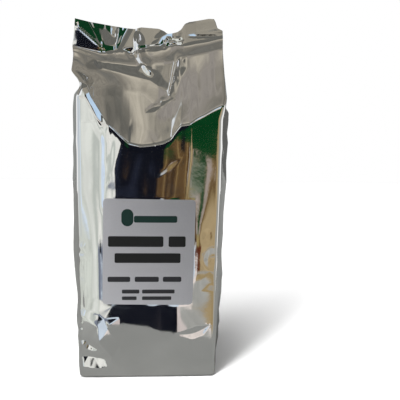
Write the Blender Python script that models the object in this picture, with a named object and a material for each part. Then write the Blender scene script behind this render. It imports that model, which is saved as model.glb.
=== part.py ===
"""A sealed side-gusset bag of metallised film, filled with seed, with a paper label on its front.

Metres, +Z up. The bag stands on its folded bottom, with the origin under its middle.
The front panel faces -Y and the two gussets face -X and +X."""

import math

import bmesh
import bpy

# The bag: sizes that drive the rest
BAG_DEPTH = 0.068  # front panel to back panel, where it is full
LEFT_FOLD_X = 0.0505  # the corner folds, from the middle
RIGHT_FOLD_X = 0.0520
CROWN = 0.0034  # how far the flat middle of the front and back panels stands out from the corner folds
CROWN_LOW = 0.15  # share of the crown left at the bottom fold
CROWN_RISE = 0.070  # height at which the crown is full
# Half width of that flat middle: (z, half width). It is widest under the label.
FLAT_MIDDLE = [(0.045, 0.0360), (0.060, 0.0345), (0.141, 0.0345), (0.156, 0.0290)]
# Above the label the front panel is fuller on its left: (x, how far it stands out)
CROWN_TOP = [
    (-0.0505, 0.0), (-0.0330, 0.0021), (-0.0290, 0.00285), (-0.0250, 0.00315), (-0.0050, 0.0034),
    (0.0060, 0.0034), (0.0140, 0.00315), (0.0230, 0.00265), (0.0290, 0.0022), (0.0520, 0.0),
]
CROWN_TOP_START = 0.141
CROWN_TOP_BLEND = 0.015
FOLD_ROUND = 0.0030  # length taken by each side of a rounded corner fold
BASE_ROUND = 0.0040  # round of the bottom fold
FILM = 0.0009  # thickness of the film and its inner layers
SEAL_HALF = 0.0011  # half the thickness of the pressed top seal

# Gussets
LEFT_BULGE = 0.0058
RIGHT_BULGE = 0.0070
BULGE_RISE = 0.070  # height by which a gusset has swelled to its full bulge
GUSSET_CREASE = 0.0012  # depth of the crease down the middle of a gusset
LEFT_SHOULDER = 0.214  # heights at which the gussets fold in under the top seal
RIGHT_SHOULDER = 0.204
SHOULDER_FADE = 0.016
GUSSET_TUCK = 0.016  # how far the middle of a gusset is tucked in above the shoulder
TUCK_RAMP = 0.6  # share of the way to the seal in which the tuck reaches its depth

# Where the full body of the front and back panels ends and the empty top leans in, as (x, z) along the panel
FRONT_RIDGE = [
    (-0.0505, 0.2215), (-0.0455, 0.2195), (-0.0297, 0.1942), (-0.0137, 0.1799), (-0.0060, 0.1783),
    (0.0102, 0.1806), (0.0158, 0.1835), (0.0227, 0.1941), (0.0290, 0.1944), (0.0395, 0.2011), (0.0520, 0.2075),
]
BACK_RIDGE = [(-0.0505, 0.2100), (-0.0250, 0.1960), (0.0050, 0.1870), (0.0300, 0.1950), (0.0520, 0.2060)]
# The lower line of the top seal, and its upper edge
SEAL_LINE = [
    (-0.0555, 0.2472), (-0.0346, 0.2441), (-0.0069, 0.2465), (0.0037, 0.2486),
    (0.0158, 0.2491), (0.0224, 0.2507), (0.0437, 0.2540), (0.0540, 0.2565),
]
TOP_EDGE = [
    (-0.0532, 0.2655), (-0.0106, 0.2594), (0.0020, 0.2604), (0.0069, 0.2601), (0.0133, 0.2567), (0.0165, 0.2570),
    (0.0204, 0.2583), (0.0233, 0.2600), (0.0258, 0.2641), (0.0290, 0.2655), (0.0435, 0.2683), (0.0500, 0.2682),
]
BODY_TOP = 0.200  # row height that is carried on to the ridge
ROW_MORPH = 0.150  # rows below this height are level
LEAN_START = 0.195  # above this height the full body leans back
LEAN = 0.05
ROOF_SAG = 0.0035  # how far the empty top sinks in between ridge and seal

# Corner folds above the shoulder: (z, distance from the middle)
LEFT_CORNER = [(0.2120, 0.0505), (0.2200, 0.0478), (0.2235, 0.0500), (0.2290, 0.0555), (0.2472, 0.0555)]
RIGHT_CORNER = [(0.1980, 0.0520), (0.2080, 0.0550), (0.2130, 0.0560), (0.2565, 0.0540)]
# Ends of the seal band: (share of its height, distance from the middle)
LEFT_SEAL_END = [(0.0, 0.0555), (0.25, 0.0545), (1.0, 0.0532)]
RIGHT_SEAL_END = [(0.0, 0.0540), (0.30, 0.0538), (0.45, 0.0500), (0.85, 0.0484), (1.0, 0.0473)]

# Folds of the front film: ends (x, z), reach on its left and on its right seen along it, and height
FRONT_FOLDS = [
    ((-0.0297, 0.1942), (-0.0292, 0.1480), 0.006, 0.006, 0.0006),  # long upright fold, left
    ((0.0290, 0.1944), (0.0303, 0.1480), 0.006, 0.006, 0.0006),  # long upright fold, right
    ((-0.0460, 0.2234), (-0.0280, 0.2293), 0.010, 0.012, -0.0024),  # arched fold under the seal
    ((-0.0280, 0.2293), (0.0114, 0.2157), 0.010, 0.014, -0.0024),
    ((0.0224, 0.2490), (0.0160, 0.2340), 0.006, 0.009, 0.0014),  # pinched fold down from the seal
    ((0.0170, 0.2360), (0.0155, 0.2130), 0.006, 0.008, 0.0028),
    ((0.0175, 0.2125), (-0.0027, 0.2020), 0.006, 0.009, 0.0026),
    ((-0.0083, 0.2459), (-0.0005, 0.2305), 0.006, 0.006, 0.0016),  # short fold in the middle of the seal
    ((-0.0490, 0.0565), (-0.0297, 0.0453), 0.006, 0.008, 0.0018),  # crumpled lower left corner
    ((-0.0297, 0.0453), (-0.0409, 0.0350), 0.010, 0.007, 0.0016),
    ((-0.0515, 0.0340), (-0.0254, 0.0190), 0.006, 0.008, 0.0016),
    ((-0.0297, 0.0453), (-0.0254, 0.0190), 0.010, 0.008, 0.0010),
]
# Dents of the front film: centre (x, z), half width, half height and depth
FRONT_DENTS = [
    (-0.0440, 0.0440, 0.0085, 0.0095, 0.0030),
    (-0.0410, 0.0260, 0.0090, 0.0050, 0.0024),
    (0.0350, 0.0385, 0.0140, 0.0055, 0.0018),
    (0.0470, 0.0950, 0.0090, 0.0110, 0.0016),
    (-0.0040, 0.2080, 0.0160, 0.0140, 0.0020),
]
# Waves of the top seal, front and back together: ends, reach on each side, height
SEAL_WAVES = [
    ((-0.0338, 0.2452), (-0.0510, 0.2597), 0.012, 0.010, 0.0022),
    ((-0.0338, 0.2452), (-0.0380, 0.2620), 0.008, 0.008, -0.0016),
    ((-0.0237, 0.2464), (-0.0230, 0.2608), 0.006, 0.006, 0.0024),
    ((-0.0083, 0.2459), (-0.0084, 0.2595), 0.012, 0.009, 0.0024),
    ((0.0133, 0.2470), (0.0150, 0.2570), 0.010, 0.008, -0.0026),
    ((0.0300, 0.2540), (0.0330, 0.2660), 0.012, 0.014, 0.0014),
]
WAVE_START = 0.55  # share of the way from ridge to seal at which the waves begin

BACK_SEAM_HALF = 0.0055  # the lap seam up the back panel
BACK_SEAM_RISE = 0.0008

# Rows and columns of the film
FRONT_COLUMNS = 22
SIDE_COLUMNS = 6
BACK_COLUMNS = [0.0, 0.18, 0.34, 0.445, 0.455, 0.545, 0.555, 0.66, 0.82, 1.0]
BODY_ROWS = [
    0.004, 0.009, 0.014, 0.019, 0.024, 0.029, 0.034, 0.039, 0.044, 0.050, 0.057, 0.066, 0.080, 0.098, 0.116,
    0.134, 0.150, 0.163, 0.176, 0.188, 0.200,
]
ROOF_ROWS = [0.12, 0.25, 0.36, 0.46, 0.55, 0.64, 0.72, 0.80, 0.88, 1.0]
SEAL_ROWS = [0.3, 0.45, 0.8, 1.0]
BASE_TURNS = [0.0, 0.35, 0.70]  # share of the quarter turn of the bottom fold, from the flat base

# Paper label
LABEL_WIDTH = 0.0665
LABEL_HEIGHT = 0.0800
LABEL_CENTRE = (0.0008, 0.1003)
LABEL_TURN = math.radians(-0.6)
LABEL_CORNER = 0.0030
LABEL_CORNER_STEPS = 5
LABEL_PAPER = 0.0005
LABEL_GAP = 0.0003
LABEL_STRIPS = 12
LABEL_BANDS = 8

# Seed
SEED_GAP = 0.0011  # clear of the film
SEED_CORNER = 0.0020  # further in at the corner folds, which the seed rounds off
SEED_TOP = 0.196
SEED_BELOW_RIDGE = 0.006
SEED_MIDDLE = 0.188  # height of the heap in the middle
SEED_RELIEF = 0.0012  # how deep the hollows between seeds are
SEED_COLUMNS = 56
SEED_ROWS = 26
SEED_HEAP_ROWS = 5


def clear_scene():
    for thing in list(bpy.data.objects):
        bpy.data.objects.remove(thing, do_unlink=True)


def new_material(name, colour, roughness, metallic):
    material = bpy.data.materials.new(name)
    material.use_nodes = True
    shader = material.node_tree.nodes["Principled BSDF"]
    shader.inputs["Base Color"].default_value = (*colour, 1.0)
    shader.inputs["Roughness"].default_value = roughness
    shader.inputs["Metallic"].default_value = metallic
    return material


def new_object(name, mesh_edit, material):
    mesh = bpy.data.meshes.new(name)
    mesh_edit.to_mesh(mesh)
    mesh_edit.free()
    mesh.materials.append(material)
    thing = bpy.data.objects.new(name, mesh)
    bpy.context.scene.collection.objects.link(thing)
    return thing


def along(points, at):
    """Value at one place on a line of (place, value) points, straight between them."""
    for (start, first), (end, second) in zip(points, points[1:]):
        if at <= end:
            share = min(max((at - start) / (end - start), 0.0), 1.0)
            return first + (second - first) * share
    return points[-1][1]


def ease(share):
    share = min(max(share, 0.0), 1.0)
    return share * share * (3 - 2 * share)


def fold_height(fold, x, z):
    """A straight fold with a sharp crest, which falls off evenly on both sides and past its ends."""
    (x0, z0), (x1, z1), left_reach, right_reach, height = fold
    run_x, run_z = x1 - x0, z1 - z0
    length = math.hypot(run_x, run_z)
    run = ((x - x0) * run_x + (z - z0) * run_z) / length
    side = ((z - z0) * run_x - (x - x0) * run_z) / length
    reach = left_reach if side > 0 else right_reach
    beyond = max(-run, run - length, 0.0)
    return height * max(0.0, 1.0 - math.hypot(side, beyond) / reach)


def dent_depth(dent, x, z):
    centre_x, centre_z, half_width, half_height, depth = dent
    spread = ((x - centre_x) / half_width) ** 2 + ((z - centre_z) / half_height) ** 2
    return depth * max(0.0, 1.0 - spread) ** 1.5


def front_relief(x, z):
    """How far folds and dents move the front film outwards."""
    folds = sum(fold_height(fold, x, z) for fold in FRONT_FOLDS)
    return folds - sum(dent_depth(dent, x, z) for dent in FRONT_DENTS)


def seal_wave(x, z, roof_share):
    """Sideways wave of the seal, which dies out down the empty top."""
    fade = ease((roof_share - WAVE_START) / (1.0 - WAVE_START))
    return -fade * sum(fold_height(wave, x, z) for wave in SEAL_WAVES)


def stations():
    """The places of one turn round the bag, seen from above: (panel, share of the panel)."""
    fold = FOLD_ROUND / (LEFT_FOLD_X + RIGHT_FOLD_X)
    side_fold = FOLD_ROUND / BAG_DEPTH
    front = [fold + (1 - 2 * fold) * i / FRONT_COLUMNS for i in range(FRONT_COLUMNS + 1)]
    side = [side_fold + (1 - 2 * side_fold) * i / SIDE_COLUMNS for i in range(SIDE_COLUMNS + 1)]
    back = [fold + (1 - 2 * fold) * share for share in BACK_COLUMNS]
    places = []
    for panel, shares in (("front", front), ("right", side), ("back", back), ("left", side)):
        places.append((panel, 0.0))
        places.extend((panel, share) for share in shares)
    return places


def panel_x(panel, share):
    """Distance of a place from the middle, measured along the front or back panel."""
    width = LEFT_FOLD_X + RIGHT_FOLD_X
    return {
        "front": -LEFT_FOLD_X + width * share,
        "right": RIGHT_FOLD_X,
        "back": RIGHT_FOLD_X - width * share,
        "left": -LEFT_FOLD_X,
    }[panel]


def ridge_height(panel, share):
    x = panel_x(panel, share)
    front, back = along(FRONT_RIDGE, x), along(BACK_RIDGE, x)
    towards_back = {"front": 0.0, "right": share, "back": 1.0, "left": 1.0 - share}[panel]
    return front + (back - front) * towards_back


def place_height(panel, share, zone, level):
    """Height of a place on a row. zone is body, roof or seal; level is the row's height or share in it."""
    x = panel_x(panel, share)
    ridge = ridge_height(panel, share)
    seal = along(SEAL_LINE, x)
    if zone == "body":
        morph = max(0.0, (level - ROW_MORPH) / (BODY_TOP - ROW_MORPH))
        return level + (ridge - BODY_TOP) * morph
    if zone == "roof":
        return ridge + (seal - ridge) * level
    return seal + (along(TOP_EDGE, x) - seal) * level


def crown(panel, x, z):
    """The full panel has a flat middle, which drops in a straight facet to each corner fold."""
    half = LEFT_FOLD_X if x < 0 else RIGHT_FOLD_X
    flat = along(FLAT_MIDDLE, z)
    out = CROWN * min(max((half - abs(x)) / (half - flat), 0.0), 1.0)
    if panel == "front":
        out += (along(CROWN_TOP, x) - out) * ease((z - CROWN_TOP_START) / CROWN_TOP_BLEND)
    return out * (CROWN_LOW + (1 - CROWN_LOW) * ease(z / CROWN_RISE))


def half_depth(panel, x, z, zone, level):
    """Distance from the bag's middle plane to the front or back film."""
    half = LEFT_FOLD_X if x < 0 else RIGHT_FOLD_X
    full = BAG_DEPTH / 2 + crown(panel, x, z) - LEAN * max(0.0, z - LEAN_START)
    if zone == "seal":
        return SEAL_HALF
    if zone == "roof":
        sag = ROOF_SAG * 4 * level * (1 - level) * max(0.0, 1.0 - (x / half) ** 2)
        full = SEAL_HALF + (full - SEAL_HALF) * (1 - level) - sag
    if panel == "front":
        full += front_relief(x, z)
    elif abs(x) < BACK_SEAM_HALF:
        full += BACK_SEAM_RISE
    return max(full, SEAL_HALF)


def corner_x(side, z, zone, level):
    """Distance of a corner fold from the middle."""
    if zone == "seal":
        return along(RIGHT_SEAL_END if side == "right" else LEFT_SEAL_END, level)
    return along(RIGHT_CORNER if side == "right" else LEFT_CORNER, z)


def gusset(side, z, depth):
    """Bulge of a gusset where the bag is full, and tuck above its shoulder."""
    shoulder = RIGHT_SHOULDER if side == "right" else LEFT_SHOULDER
    swell = min(z / BULGE_RISE, 1.0)
    bulge = (RIGHT_BULGE if side == "right" else LEFT_BULGE) * (1 - (1 - swell) ** 2)
    bulge *= 1 - ease((z - shoulder) / SHOULDER_FADE + 0.5)
    roof = max(0.0, (z - shoulder) / (along(SEAL_LINE, 0.0) - shoulder))
    tuck = min(GUSSET_TUCK * min(roof / TUCK_RAMP, 1.0), 2 * (depth - SEAL_HALF))
    return bulge, tuck


def film_place(panel, share, zone, level, inset, base=0.0):
    """A point of the film. inset is how far it lies inside the outer face; base pulls it in under the bag."""
    z = place_height(panel, share, zone, level)
    x = panel_x(panel, share)
    roof_share = {"body": 0.0, "roof": level, "seal": 1.0}[zone]
    wave = seal_wave(x, z, roof_share)
    side = "left" if x < 0 else "right"
    front = half_depth("front", x, z, zone, level)
    back = half_depth("back", x, z, zone, level)
    depth = min(front, back)
    corner = corner_x(side, z, zone, level)
    bulge, tuck = gusset(side, z, depth)
    slant = math.hypot(tuck, depth)
    corner_inset = inset * (slant + tuck) / depth
    middle_inset = inset * slant / depth
    if panel in ("front", "back"):
        half = LEFT_FOLD_X if x < 0 else RIGHT_FOLD_X
        place_x = x / half * (corner - corner_inset - base)
        place_y = wave + (-(front - inset - base) if panel == "front" else back - inset - base)
    else:
        towards_back = share if panel == "right" else 1.0 - share
        tent = 1.0 - abs(2 * towards_back - 1.0)
        crease = GUSSET_CREASE * max(0.0, 1.0 - (1.0 - tent) / 0.3) if tuck == 0 else 0.0
        round_out = bulge * math.sin(math.pi * towards_back) ** 0.8 - crease
        out = corner - corner_inset + (corner_inset - middle_inset - tuck) * tent + round_out - base
        place_x = out if panel == "right" else -out
        place_y = wave + (-(front - inset - base)) * (1 - towards_back) + (back - inset - base) * towards_back
    return [place_x, place_y, z]


def film_row(zone, level, inset, base=0.0, height=None):
    """One turn of the film, with its four corner folds rounded off."""
    row = [film_place(*place, zone, level, inset, base) for place in stations()]
    count = len(row)
    rounded = [list(point) for point in row]
    for i, (_, share) in enumerate(stations()):
        if share == 0.0:
            before, after = row[i - 1], row[(i + 1) % count]
            rounded[i] = [0.5 * row[i][k] + 0.25 * (before[k] + after[k]) for k in range(3)]
    if height is not None:
        for point in rounded:
            point[2] = height
    return rounded


def base_rows(inset):
    """The rounded bottom fold, from the flat base up to the lowest body row."""
    turn_round = BASE_ROUND - inset
    rows = []
    for turn in BASE_TURNS:
        angle = turn * math.pi / 2
        pulled_in = turn_round * (1 - math.sin(angle))
        height = BASE_ROUND - turn_round * math.cos(angle)
        rows.append(film_row("body", BODY_ROWS[0], inset, pulled_in, height))
    return rows


def film_side(inset):
    """All rows of the film's outer face, or of its inner face, from the base to the top edge."""
    rows = base_rows(inset)
    rows += [film_row("body", level, inset) for level in BODY_ROWS]
    rows += [film_row("roof", level, inset) for level in ROOF_ROWS]
    rows += [film_row("seal", level, inset) for level in SEAL_ROWS]
    return rows


def sleeve(rows, turned_from):
    """A closed tube through rows of points, capped at both ends. Rows from turned_from on run back down
    inside the first ones, and their quads are split the other way, so that both faces have like triangles."""
    columns = len(rows[0])
    edit = bmesh.new()
    bmesh.ops.create_grid(edit, x_segments=columns, y_segments=len(rows) - 1, size=1.0)
    edit.verts.ensure_lookup_table()
    for r, row in enumerate(rows):
        for c in range(columns + 1):
            edit.verts[r * (columns + 1) + c].co = row[c % columns]
    inner = [face for face in edit.faces if min(v.index for v in face.verts) >= turned_from * (columns + 1)]
    outer = [face for face in edit.faces if face not in set(inner)]
    bmesh.ops.triangulate(edit, faces=outer, quad_method="FIXED")
    if inner:
        bmesh.ops.triangulate(edit, faces=inner, quad_method="ALTERNATE")
    bmesh.ops.remove_doubles(edit, verts=edit.verts, dist=1e-7)
    bmesh.ops.holes_fill(edit, edges=[edge for edge in edit.edges if edge.is_boundary], sides=0)
    bmesh.ops.recalc_face_normals(edit, faces=edit.faces)
    return edit


def make_foil_bag():
    outer = film_side(0.0)
    inner = film_side(FILM)
    edit = sleeve(outer + inner[::-1], turned_from=len(outer))
    foil = new_material("mirror_foil", (0.80, 0.80, 0.79), 0.08, 1.0)
    return new_object("foil_bag", edit, foil)


def seed_stations():
    """Evenly spaced places round the bag for the seed inside it."""
    girth = [("front", LEFT_FOLD_X + RIGHT_FOLD_X), ("right", BAG_DEPTH)]
    girth += [("back", LEFT_FOLD_X + RIGHT_FOLD_X), ("left", BAG_DEPTH)]
    total = sum(length for _, length in girth)
    places = []
    for panel, length in girth:
        count = round(SEED_COLUMNS * length / total)
        places.extend((panel, i / count) for i in range(count))
    return places


def make_seed_fill():
    places = seed_stations()
    inset = FILM + SEED_GAP
    rows = []
    for r in range(SEED_ROWS + 1):
        row = []
        for c, place in enumerate(places):
            ring_top = min(ridge_height(*place) - SEED_BELOW_RIDGE, SEED_TOP)
            rise = r / SEED_ROWS
            hollow = SEED_RELIEF * ((r + c) % 2) + (SEED_CORNER if place[1] == 0.0 else 0.0)
            if r == 0:
                hollow += BASE_ROUND
            level = BODY_ROWS[0] + (ring_top - BODY_ROWS[0]) * rise
            point = film_place(*place, "body", level, inset + hollow)
            point[2] = level if r else inset
            row.append(point)
        rows.append(row)
    rim = rows[-1]
    for h in range(1, SEED_HEAP_ROWS + 1):
        inward = h / (SEED_HEAP_ROWS + 1)
        row = []
        for c, (x, y, z) in enumerate(rim):
            lift = (SEED_MIDDLE - z) * ease(inward) - SEED_RELIEF * ((h + c) % 2)
            row.append([x * (1 - inward), y * (1 - inward), z + lift])
        rows.append(row)
    edit = sleeve(rows, turned_from=len(rows))
    return new_object("seed_fill", edit, new_material("seed", (0.33, 0.22, 0.12), 0.75, 0.0))


def label_outline():
    """The label's rounded rectangle, anticlockwise seen from the front."""
    half_width, half_height = LABEL_WIDTH / 2 - LABEL_CORNER, LABEL_HEIGHT / 2 - LABEL_CORNER
    corners = [(half_width, half_height), (-half_width, half_height)]
    corners += [(-half_width, -half_height), (half_width, -half_height)]
    points = []
    for quarter, (centre_x, centre_z) in enumerate(corners):
        for step in range(LABEL_CORNER_STEPS + 1):
            angle = (quarter + step / LABEL_CORNER_STEPS) * math.pi / 2
            points.append((centre_x + LABEL_CORNER * math.cos(angle), centre_z + LABEL_CORNER * math.sin(angle)))
    return points


def make_label():
    edit = bmesh.new()
    corners = [edit.verts.new((x, 0.0, z)) for x, z in label_outline()]
    face = edit.faces.new(corners)
    grown = bmesh.ops.extrude_face_region(edit, geom=[face])["geom"]
    for vert in [item for item in grown if isinstance(item, bmesh.types.BMVert)]:
        vert.co.y = -LABEL_PAPER
    cuts = [(LABEL_WIDTH * (i / LABEL_STRIPS - 0.5), (1, 0, 0)) for i in range(1, LABEL_STRIPS)]
    cuts += [(LABEL_HEIGHT * (i / LABEL_BANDS - 0.5), (0, 0, 1)) for i in range(1, LABEL_BANDS)]
    for cut, across in cuts:
        geometry = [*edit.verts, *edit.edges, *edit.faces]
        cut_at = [cut * part for part in across]
        bmesh.ops.bisect_plane(edit, geom=geometry, plane_co=cut_at, plane_no=across)
    cos_turn, sin_turn = math.cos(LABEL_TURN), math.sin(LABEL_TURN)
    for vert in edit.verts:
        x = LABEL_CENTRE[0] + vert.co.x * cos_turn - vert.co.z * sin_turn
        z = LABEL_CENTRE[1] + vert.co.x * sin_turn + vert.co.z * cos_turn
        film_y = -half_depth("front", x, z, "body", z)
        vert.co = (x, film_y - LABEL_GAP + vert.co.y, z)
    bmesh.ops.triangulate(edit, faces=edit.faces)
    bmesh.ops.recalc_face_normals(edit, faces=edit.faces)
    return new_object("label", edit, new_material("label_paper", (0.62, 0.62, 0.66), 0.6, 0.0))


def stand_on_origin(things):
    """Move the pieces together so that the middle of their box is over the origin."""
    for axis in (0, 1):
        places = [vert.co[axis] for thing in things for vert in thing.data.vertices]
        middle = (min(places) + max(places)) / 2
        for thing in things:
            for vert in thing.data.vertices:
                vert.co[axis] -= middle


clear_scene()
stand_on_origin([make_foil_bag(), make_seed_fill(), make_label()])
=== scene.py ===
# The looks of a standing side-gusset bag of mirror-bright foil film with a paper label.
# The CAD nodes are the frame. Lengths in the dictionaries are millimetres from the middle of the
# bag's folded bottom, unless a note says metres; meshes become metres when they are finished.

import math

import bmesh
import bpy
import numpy as np
from mathutils import Matrix, Vector
from mathutils.geometry import delaunay_2d_cdt


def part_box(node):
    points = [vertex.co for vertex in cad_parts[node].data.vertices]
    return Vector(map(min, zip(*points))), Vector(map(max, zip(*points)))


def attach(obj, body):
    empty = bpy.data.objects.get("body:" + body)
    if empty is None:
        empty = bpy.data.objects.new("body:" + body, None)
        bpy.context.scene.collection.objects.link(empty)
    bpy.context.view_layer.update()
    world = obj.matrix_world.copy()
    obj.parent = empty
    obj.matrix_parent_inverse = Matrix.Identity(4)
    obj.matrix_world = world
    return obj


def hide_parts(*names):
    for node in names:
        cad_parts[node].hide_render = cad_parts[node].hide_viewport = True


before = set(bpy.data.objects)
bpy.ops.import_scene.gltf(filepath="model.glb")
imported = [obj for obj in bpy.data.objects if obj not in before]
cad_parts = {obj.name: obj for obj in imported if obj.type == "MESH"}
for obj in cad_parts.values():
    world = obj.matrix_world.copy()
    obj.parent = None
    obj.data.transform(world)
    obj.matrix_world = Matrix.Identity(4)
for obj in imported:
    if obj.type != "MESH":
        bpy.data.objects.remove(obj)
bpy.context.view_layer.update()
mm = 0.001


# The film: its shape is worked out for whole rows and columns at once

film = {
    "depth": 68.0,  # front panel to back panel
    "leftFold": 50.5,  # corner folds, from the middle
    "rightFold": 52.0,
    "crown": 3.4,  # how far the flat middle of a panel stands out from the corner folds
    "crownLow": 0.15,  # share of it left at the bottom
    "crownRise": 70.0,  # height at which it is whole
    "leftFlat": [(45, 36), (60, 34.5)],  # height and half width of the flat middle
    "rightFlat": [(62, 22), (82, 34.5)],
    "flatSoft": (4.0, 4.0),
    "crownTop": [  # above the label: place and height of the crown
        (-50.5, 0), (-46, 0.72), (-40, 1.45), (-33, 2.05), (-30, 2.5), (-25.6, 3.1), (-5, 3.35),
        (4, 3.4), (10, 3.3), (20, 2.95), (29, 2.4), (34, 1.95), (40, 1.36), (46, 0.7), (52, 0),
    ],
    "crownTopStart": 98.0,  # above this it takes over from the plain crown
    "crownTopBlend": 50.0,
    "crownTopSoft": 2.2,
    "crownPower": 1.5,  # below the label's top: how the crown rounds off towards the flat middle
    "foldRound": 3.0,  # reach of the round at each upright corner fold
    "baseRound": 2.5,  # and of the fold along the bottom
    "baseFade": 20.0,  # this near to the middle the bottom is pulled in less
    "sealHalf": 0.45,  # half the thickness of the pressed top seal
    "ridgeRound": 0.35,  # softness of the ridge between body and top
    "ridgeCut": [  # depth of the cut along the ridge
        (-50, 0.35), (-46, 0.70), (-40, 0.80), (-32, 0.75), (-28, 0.25), (-22, 0.12), (15, 0.06),
        (52, 0.08),
    ],
    "ridgeCutTilt": 0.16,  # its share of the way from the body's slope to the top's
    "ridgeCalm": 10.0,  # the roof above the ridge follows a softened ridge line
    "ridgeCalmRise": 18.0,
    "leanStart": 195.0,  # above this the full body leans back
    "lean": 0.05,
    "roofSag": 1.2,  # how far the empty top hangs in between ridge and seal
    "bodyTop": 200.0,  # height of the body's rows before they bend to follow the ridge
    "rowMorph": 150.0,  # they bend from here on
    "lineSoft": 0.8,  # softness of the ridge and seal lines
    "frontRidge": [
        (-50.5, 221.5), (-46.5, 221), (-42, 214.3), (-35.6, 204.3), (-29.7, 194.2), (-24.8, 190.3),
        (-19.9, 185.4), (-13.7, 179.9), (-6, 178.3), (4.6, 179.5), (10.2, 180.6), (15.8, 183.5),
        (18.5, 188), (22.7, 193.6), (29, 194.4), (33, 197.9), (38.5, 201.1), (44, 205),
        (49.5, 207.9), (52, 206.5),
    ],
    "backRidge": [(-50.5, 210), (-25, 196), (5, 187), (30, 195), (52, 206)],
    "backRidgeSoft": 3.0,
    "sealLine": [
        (-55.5, 247.2), (-34.6, 244.6), (-22.9, 245.5), (-6.9, 246.5), (3.7, 248.2), (15.8, 249.1),
        (22.4, 250.7), (43.7, 254), (54, 256.5),
    ],
    "topEdge": [
        (-53.2, 265.5), (-43.1, 263.4), (-28.7, 261.4), (-17.8, 259.9), (-10.6, 259.4),
        (-6.2, 260.8), (1.1, 260.4), (6.9, 260.1), (10.5, 258.6), (13.3, 256.6), (16.5, 257),
        (20.4, 258.1), (23.3, 260), (25.8, 264.1), (29, 265.5), (35, 266.6), (43.5, 268.28),
        (47.3, 268.2),
    ],
    "topEdgeSoft": 0.6,
    "leftCorner": [  # height and distance out
        (212, 50.5), (220, 47.8), (223.5, 50), (229, 55.5), (247.2, 55.5),
    ],
    "rightCorner": [(198, 52), (208, 55), (213, 56), (256.5, 54)],
    "cornerSoft": (1.0, 1.5),
    "leftSealEnd": [(0, 55.5), (0.25, 54.5), (1, 53.2)],  # share of the seal and distance out
    "rightSealEnd": [(0, 54), (0.30, 53.8), (0.45, 50), (0.85, 48.4), (1, 47.3)],
    "pressStart": 0.80,  # share of the roof at which the two films begin to close up
    "pressRun": 0.20,
    "columns": (140, 36, 60, 36),  # of the front, right, back and left panel
    "foldColumns": 6,
    "bodyRows": 206,
    "roofRows": 58,
    "sealRows": 20,
    "baseTurns": 5,
    "weld": 1e-4,
    "sharp": math.radians(38),  # folds steeper than this stay sharp
}

gussets = {
    "leftBulge": [  # height and how far the middle of the side swells out
        (43, 4.1), (57, 3.4), (75, 5.2), (90, 5.7), (110, 5.8), (140, 5.6), (180, 4.9), (205, 4.2),
    ],
    "leftBulgeSoft": 6.0,
    "rightBulge": 7.0,
    "bulgePower": 0.8,  # roundness of the swelling from front to back
    "bulgeRise": 70.0,  # height at which it is whole
    "leftShoulder": 216.0,  # height at which it ends
    "rightShoulder": 204.0,
    "shoulderFade": 10.0,
    "tuck": 16.0,  # how far the side is folded in above the shoulder
    "tuckRamp": 0.6,  # share of the way up to the seal at which it is folded in fully
    "top": 247.3,  # height at which it ends in the seal
    "edge": 6.0,  # how quickly creases start beside a corner fold
    "creaseFade": 4.0,  # and how quickly they end above the shoulder
}

# Folds of the front film: line, reach to its left and right, height, round of the crest
frontFolds = [
    ([(-29.7, 195), (-30.4, 166), (-30.6, 136)], 4.5, 3.5, 0.32, 0.4),  # long upright fold, left
    ([(-33.6, 188.3), (-36.5, 196)], 3.5, 3.5, 0.18, 0.8),
    ([(-25.6, 160), (-16, 186)], 6, 14, 0.26, 1.2),
    ([(29.1, 195), (29.6, 171.5), (27, 141)], 1.4, 9, 0.17, 0.25),  # long upright fold, right
    ([(10.5, 162.5), (16.5, 167)], 12, 3, 0.12, 1.2),
    ([(-48.4, 100), (-47.2, 84), (-47.4, 60)], 1, 1.3, -0.4, 0.15),  # creased left edge
    ([(-47.8, 222.9), (-40.4, 229), (-32.4, 229.6), (-13.5, 226.3), (0.7, 223.4), (11.4, 215.7)],
     7.0, 12.0, -1.0, 0.7),  # arched fold under the seal, lower crease
    ([(-45.7, 236.3), (-37.4, 236.1), (-17.7, 234.1), (0.6, 229.6)], 8, 5, 0.14, 1),  # upper crease
    ([(-54.5, 244.5), (-44.9, 233.7), (-47.9, 229.7)], 4, 4, 0.5, 0.6),
    ([(21, 246), (16.6, 235.4), (12.6, 216)], 9, 5, 0.5, 1),  # rise towards the pinched fold
    ([(-24, 226), (-12, 208), (-1.6, 190)], 9, 14, -0.45, 3.5),  # soft hollow down the middle
    ([(-7.4, 241.5), (-3.4, 235)], 5, 3.4, 1, 0.25),  # lower end of the short fold
    ([(28.6, 215.5), (28, 200)], 8, 8, 0.2, 3),
    ([(37.6, 229.1), (40.6, 242)], 8, 8, -0.25, 3),
]
# Dents of the front film: middle, half width, half height, depth
frontDents = [
    (48, 95.5, 7.5, 9.5, 0.6),
    (43, 112, 5, 7, 0.3),
]
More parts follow.
